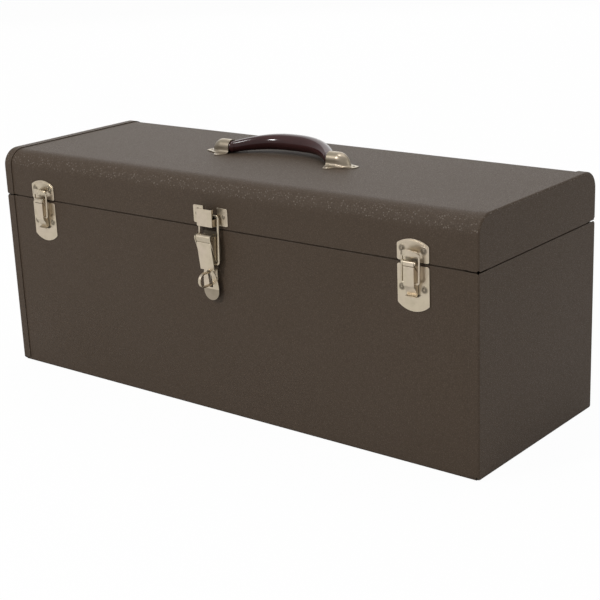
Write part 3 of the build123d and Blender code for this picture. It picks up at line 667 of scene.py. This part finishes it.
def capSection(turn):
    # (reach, rise) from the ridge down the dome and round the flare
    lean = cos(turn) ** 2
    reachEnd = 1 / sqrt((cos(turn) / cap["nose"]) ** 2 + (sin(turn) / cap["wall"]) ** 2)
    barrel = cap["top"] - cap["wall"]
    points = []
    for i in range(cap["domeSteps"] + 1):
        share = i / cap["domeSteps"]
        arc = min(share / cap["roundShare"], 1) * pi / 2
        upright = barrel * min(1, (1 - share) / (1 - cap["roundShare"]))
        side = (cap["wall"] * sin(arc), upright + cap["wall"] * cos(arc))
        nose = (cap["nose"] * sin(share * pi / 2), cap["top"] * cos(share * pi / 2))
        reach = (1 - lean) * side[0] / cap["wall"] + lean * nose[0] / cap["nose"]
        points.append((reach * reachEnd, (1 - lean) * side[1] + lean * nose[1]))
    atSides, atNose = cap["flareShares"]
    flareTop = cap["sheet"] + cap["flare"] * (atSides + (atNose - atSides) * lean)
    points = [p for p in points if p[1] > flareTop]
    reach, rise = points[-1]
    drop = rise - cap["sheet"]
    for i in range(1, cap["flareSteps"] + 1):
        arc = i / cap["flareSteps"] * pi / 2
        points.append((reach + cap["flare"] * (1 - cos(arc)), cap["sheet"] + drop * (1 - sin(arc))))
    return points


def footEdge(along, turn, flareEnd):
    # how far the foot reaches: a narrow waist, a lobe on each side and a tongue at the nose
    edge = flareEnd + cap["waist"]
    offLobe = (along + edge * cos(turn) - cap["lobeAlong"]) / cap["lobeHalf"]
    edge += (cap["lobe"] - edge) * exp(-(offLobe ** cap["squareness"])) * sin(turn) ** 2
    offTongue = turn / cap["tongueTurn"]
    return edge + (cap["tongue"] - cap["spine"] - edge) * exp(-(offTongue ** cap["squareness"]))


def capPiece(side, node):
    fan, straight = cap["fanSteps"], cap["sideSteps"]
    stations = [(cap["spine"] * i / straight, pi / 2) for i in range(straight)]
    stations += [(cap["spine"], pi / 2 - pi * i / fan) for i in range(fan + 1)]
    stations += [(cap["spine"] * (1 - i / straight), -pi / 2) for i in range(1, straight + 1)]
    form = bmesh.new()
    grimeAndShade = form.verts.layers.float.new("grimeAndShade")
    rows = []
    for along, turn in stations:
        section = capSection(turn)
        flareEnd = section[-1][0]
        foot = footEdge(along, turn, flareEnd) - flareEnd
        steps = cap["footSteps"]
        section += [(flareEnd + foot * i / steps, cap["sheet"]) for i in range(1, steps + 1)]
        row = []
        for reach, rise in section:
            x = side * (cap["mouth"] + along + reach * cos(turn))
            y = cap["centre"] + reach * sin(turn)
            vert = form.verts.new((x * mm, y * mm, (cap["seat"] + rise) * mm))
            # the caps take a duller tone all over, and the crease where the dome meets the flare is darkened
            # further as painted shade
            vert[grimeAndShade] = cap["dull"] + (cap["creaseShade"] if reach == flareEnd else 0)
            row.append(vert)
        rows.append(row)
    for here, there in zip(rows, rows[1:]):
        for k in range(min(len(here), len(there)) - 1):
            form.faces.new((here[k], here[k + 1], there[k + 1], there[k]))
    bmesh.ops.remove_doubles(form, verts=form.verts, dist=cap["weld"] * mm)
    bmesh.ops.recalc_face_normals(form, faces=form.faces)
    if sum(f.normal.z * f.calc_area() for f in form.faces) < 0:
        bmesh.ops.reverse_faces(form, faces=form.faces)
    obj = makePiece(node + "_dome", form, node)
    shell = obj.modifiers.new("sheet", "SOLIDIFY")
    shell.thickness, shell.offset, shell.use_quality_normals = cap["sheet"] * mm, -1, True
    soft = obj.modifiers.new("broken_edges", "BEVEL")
    soft.width, soft.segments = cap["edge"] * mm, cap["edgeSegments"]
    soft.limit_method, soft.angle_limit = "ANGLE", radians(cap["edgeAngle"])


capPiece(-1, "handle_cap_left")
capPiece(1, "handle_cap_right")
print("handle caps made")

# grip: a smooth bow that swells to the middle, with round ends that turn in the caps
bow = dict(
    half=63.0, rise=27.7, power=2.54, tilt=9.8, centre=3.75, pivot=249.9, middle=8.75, end=6.15, tip=5.5,
    swellShare=0.93, tipShare=0.9, ball=6.2, ballAt=64.9, ballSteps=(40, 24), stations=120, segments=44,
)


def bowRadius(share):
    swell = bow["end"] + (bow["middle"] - bow["end"]) * (1 - min(abs(share) / bow["swellShare"], 1) ** 2)
    fade = max(0, (abs(share) - bow["tipShare"]) / (1 - bow["tipShare"]))
    return swell + (bow["tip"] - bow["end"]) * fade * fade


def gripPiece():
    power = bow["power"]
    backward, upward = cos(radians(bow["tilt"])), sin(radians(bow["tilt"]))
    over = Vector((0, -upward, backward))
    form = bmesh.new()
    rings = []
    for i in range(bow["stations"] + 1):
        share = -cos(pi * i / bow["stations"])
        rise = bow["rise"] * (1 - abs(share) ** power)
        steep = bow["rise"] * power * abs(share) ** (power - 1) / bow["half"]
        slope = -steep if share > 0 else steep
        spot = Vector((share * bow["half"], bow["centre"] + rise * backward, bow["pivot"] + rise * upward))
        ahead = Vector((1, slope * backward, slope * upward)).normalized()
        aside = over.cross(ahead)
        ring = []
        for k in range(bow["segments"]):
            turn = 2 * pi * k / bow["segments"]
            rim = (over * cos(turn) + aside * sin(turn)) * bowRadius(share)
            ring.append(form.verts.new((spot + rim) * mm))
        rings.append(ring)
    for here, there in zip(rings, rings[1:]):
        for k in range(bow["segments"]):
            j = (k + 1) % bow["segments"]
            form.faces.new((here[k], here[j], there[j], there[k]))
    form.faces.new(rings[0])
    form.faces.new(list(reversed(rings[-1])))
    around, down = bow["ballSteps"]
    for side in (-1, 1):
        place = Matrix.Translation(Vector((side * bow["ballAt"], bow["centre"], bow["pivot"])) * mm)
        place = place @ Matrix.Rotation(pi / 2, 4, "Y")
        bmesh.ops.create_uvsphere(form, u_segments=around, v_segments=down,
                                  radius=bow["ball"] * mm, matrix=place)
    bmesh.ops.recalc_face_normals(form, faces=form.faces)
    makePiece("handle_grip_bow", form, "handle_grip")


gripPiece()
print("grip made")
